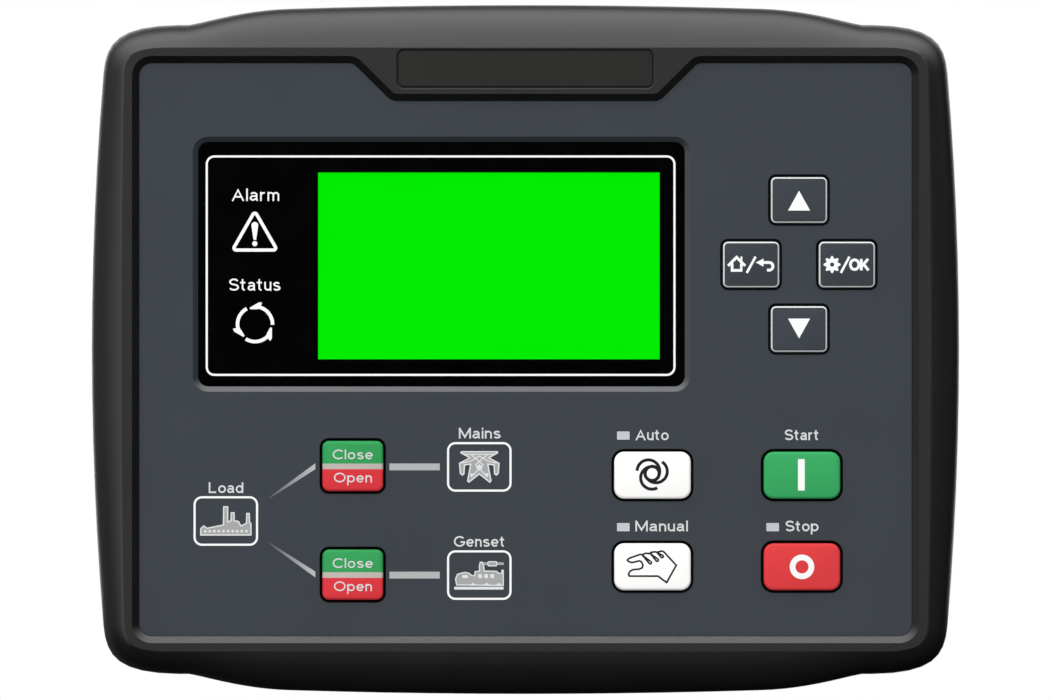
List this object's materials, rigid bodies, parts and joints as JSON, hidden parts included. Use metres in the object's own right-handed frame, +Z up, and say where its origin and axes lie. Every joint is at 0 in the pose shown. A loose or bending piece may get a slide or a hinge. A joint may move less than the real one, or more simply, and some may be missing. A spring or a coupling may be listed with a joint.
{
  "type": "genset controller",
  "caption": "Panel-mount generator controller: bowed bezel, slate fascia with lit screen and travelling keys, rear housing with plug-in terminals and clamping clips.",
  "frame": {"origin": "centre of the panel cut-out on the panel's front face, where the gasket seats", "axes": "+X to the right seen from the front, +Y through the panel to the rear, +Z up; the front faces -Y"},
  "size_m": [0.209, 0.045, 0.166],
  "materials": {
    "bezel_black": "fine texture",
    "housing_black": "fine texture",
    "plate_dark": "satin",
    "fascia_slate": "fine texture",
    "window_black": "gloss",
    "screen_green": "lit",
    "white": "satin",
    "green": "satin",
    "red": "satin",
    "light_guide": "clear",
    "rubber_dark": "matt",
    "board_green": "solder mask",
    "chip_black": "matt",
    "relay_blue": "satin",
    "terminal_green": "satin",
    "port_grey": "satin",
    "steel": "zinc plated",
    "brass": "plain"
  },
  "bodies": {
    "controller": {"front_bezel": "bezel_black", "fascia": "fascia_slate", "name_plate": "plate_dark", "display_window": "window_black", "lcd_frame": "steel", "lcd_glass": "screen_green", "lcd_backlight": "white", "keypad_mat": "rubber_dark", "indicator_auto": "light_guide", "indicator_manual": "light_guide", "indicator_stop": "light_guide", "guide_alarm": "light_guide", "guide_status": "light_guide", "indicator_leds": "white", "display_board": "board_green", "processor": "chip_black", "board_header": "brass", "board_spacers": "brass", "io_board": "board_green", "io_board_screws": "steel", "board_socket": "chip_black", "relay_mains": "relay_blue", "relay_genset": "relay_blue", "relay_fuel": "relay_blue", "relay_crank": "relay_blue", "supply_capacitors": "chip_black", "supply_inductor": "brass", "rear_housing": "housing_black", "case_screws": "steel", "panel_gasket": "rubber_dark", "supply_header": "terminal_green", "sensor_header": "terminal_green", "voltage_header": "terminal_green", "current_header": "terminal_green", "supply_plug": "terminal_green", "sensor_plug": "terminal_green", "voltage_plug": "terminal_green", "current_plug": "terminal_green", "terminal_pins": "steel", "terminal_screws": "steel", "terminal_clamps": "steel", "link_port": "port_grey", "clip_left_upper": "steel", "clip_left_lower": "steel", "clip_right_upper": "steel", "clip_right_lower": "steel"},
    "up_key": {"key_up": "fascia_slate"},
    "down_key": {"key_down": "fascia_slate"},
    "home_key": {"key_home": "fascia_slate"},
    "ok_key": {"key_ok": "fascia_slate"},
    "auto_key": {"key_auto": "white"},
    "manual_key": {"key_manual": "white"},
    "start_key": {"key_start": "green"},
    "stop_key": {"key_stop": "red"},
    "mains_breaker_key": {"key_mains_breaker": "green"},
    "genset_breaker_key": {"key_genset_breaker": "green"},
    "clamp_screw_left_upper": {"screw_left_upper": "steel"},
    "clamp_screw_left_lower": {"screw_left_lower": "steel"},
    "clamp_screw_right_upper": {"screw_right_upper": "steel"},
    "clamp_screw_right_lower": {"screw_right_lower": "steel"}
  },
  "joints": [
    {"name": "up_press", "type": "slide", "parent": "controller", "child": "up_key", "axis": [0, 1, 0], "range_m": [0, 0.001], "stiffness_N_per_m": 500, "deforming": ["keypad_mat"]},
    {"name": "down_press", "type": "slide", "parent": "controller", "child": "down_key", "axis": [0, 1, 0], "range_m": [0, 0.001], "stiffness_N_per_m": 500, "deforming": ["keypad_mat"]},
    {"name": "home_press", "type": "slide", "parent": "controller", "child": "home_key", "axis": [0, 1, 0], "range_m": [0, 0.001], "stiffness_N_per_m": 500, "deforming": ["keypad_mat"]},
    {"name": "ok_press", "type": "slide", "parent": "controller", "child": "ok_key", "axis": [0, 1, 0], "range_m": [0, 0.001], "stiffness_N_per_m": 500, "deforming": ["keypad_mat"]},
    {"name": "auto_press", "type": "slide", "parent": "controller", "child": "auto_key", "axis": [0, 1, 0], "range_m": [0, 0.001], "stiffness_N_per_m": 500, "deforming": ["keypad_mat"]},
    {"name": "manual_press", "type": "slide", "parent": "controller", "child": "manual_key", "axis": [0, 1, 0], "range_m": [0, 0.001], "stiffness_N_per_m": 500, "deforming": ["keypad_mat"]},
    {"name": "start_press", "type": "slide", "parent": "controller", "child": "start_key", "axis": [0, 1, 0], "range_m": [0, 0.001], "stiffness_N_per_m": 500, "deforming": ["keypad_mat"]},
    {"name": "stop_press", "type": "slide", "parent": "controller", "child": "stop_key", "axis": [0, 1, 0], "range_m": [0, 0.001], "stiffness_N_per_m": 500, "deforming": ["keypad_mat"]},
    {"name": "mains_breaker_press", "type": "slide", "parent": "controller", "child": "mains_breaker_key", "axis": [0, 1, 0], "range_m": [0, 0.001], "stiffness_N_per_m": 500, "deforming": ["keypad_mat"]},
    {"name": "genset_breaker_press", "type": "slide", "parent": "controller", "child": "genset_breaker_key", "axis": [0, 1, 0], "range_m": [0, 0.001], "stiffness_N_per_m": 500, "deforming": ["keypad_mat"]},
    {"name": "clamp_left_upper", "type": "slide", "parent": "controller", "child": "clamp_screw_left_upper", "axis": [0, -1, 0], "range_m": [-0.006, 0.002]},
    {"name": "clamp_left_lower", "type": "slide", "parent": "controller", "child": "clamp_screw_left_lower", "axis": [0, -1, 0], "range_m": [-0.006, 0.002]},
    {"name": "clamp_right_upper", "type": "slide", "parent": "controller", "child": "clamp_screw_right_upper", "axis": [0, -1, 0], "range_m": [-0.006, 0.002]},
    {"name": "clamp_right_lower", "type": "slide", "parent": "controller", "child": "clamp_screw_right_lower", "axis": [0, -1, 0], "range_m": [-0.006, 0.002]}
  ]
}
